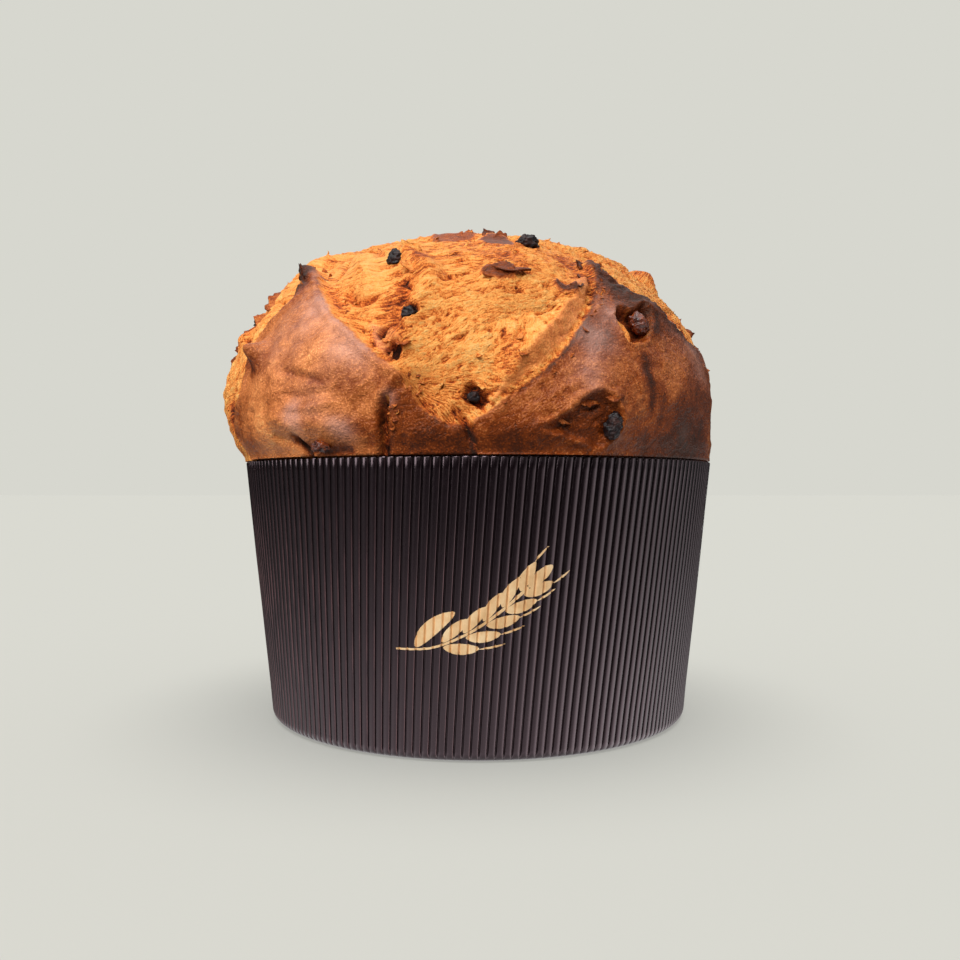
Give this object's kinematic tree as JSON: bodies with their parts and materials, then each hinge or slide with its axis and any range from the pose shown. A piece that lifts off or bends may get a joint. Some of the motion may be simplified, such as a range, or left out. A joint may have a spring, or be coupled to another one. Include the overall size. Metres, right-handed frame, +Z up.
{
  "type": "panettone",
  "caption": "Tall domed sweet fruit bread in its dark fluted paper baking case, the crust split in a cross on top, with raisins and candied peel showing.",
  "frame": {"origin": "middle of the paper case's underside, on the surface it stands on", "axes": "+Z up along the case's axis; -Y faces the picture's camera, +X to its right"},
  "size_m": [0.1795, 0.1783, 0.168],
  "materials": {
    "crust": "satin",
    "paper": "satin",
    "raisin": "satin",
    "candied_peel": "satin"
  },
  "bodies": {
    "root": {"loaf": "crust", "paper_case": "paper", "raisin_crown_left": "raisin", "raisin_in_tear": "raisin", "raisin_crown": "raisin", "raisin_low_tear": "raisin", "raisin_in_fold": "raisin", "peel_in_pocket": "candied_peel", "peel_at_rim": "candied_peel", "peel_right": "candied_peel", "raisin_back_right": "raisin", "raisin_back_low": "raisin", "peel_back": "candied_peel", "raisin_back_left": "raisin", "raisin_left_tear": "raisin", "raisin_top": "raisin", "peel_top": "candied_peel"}
  },
  "joints": []
}
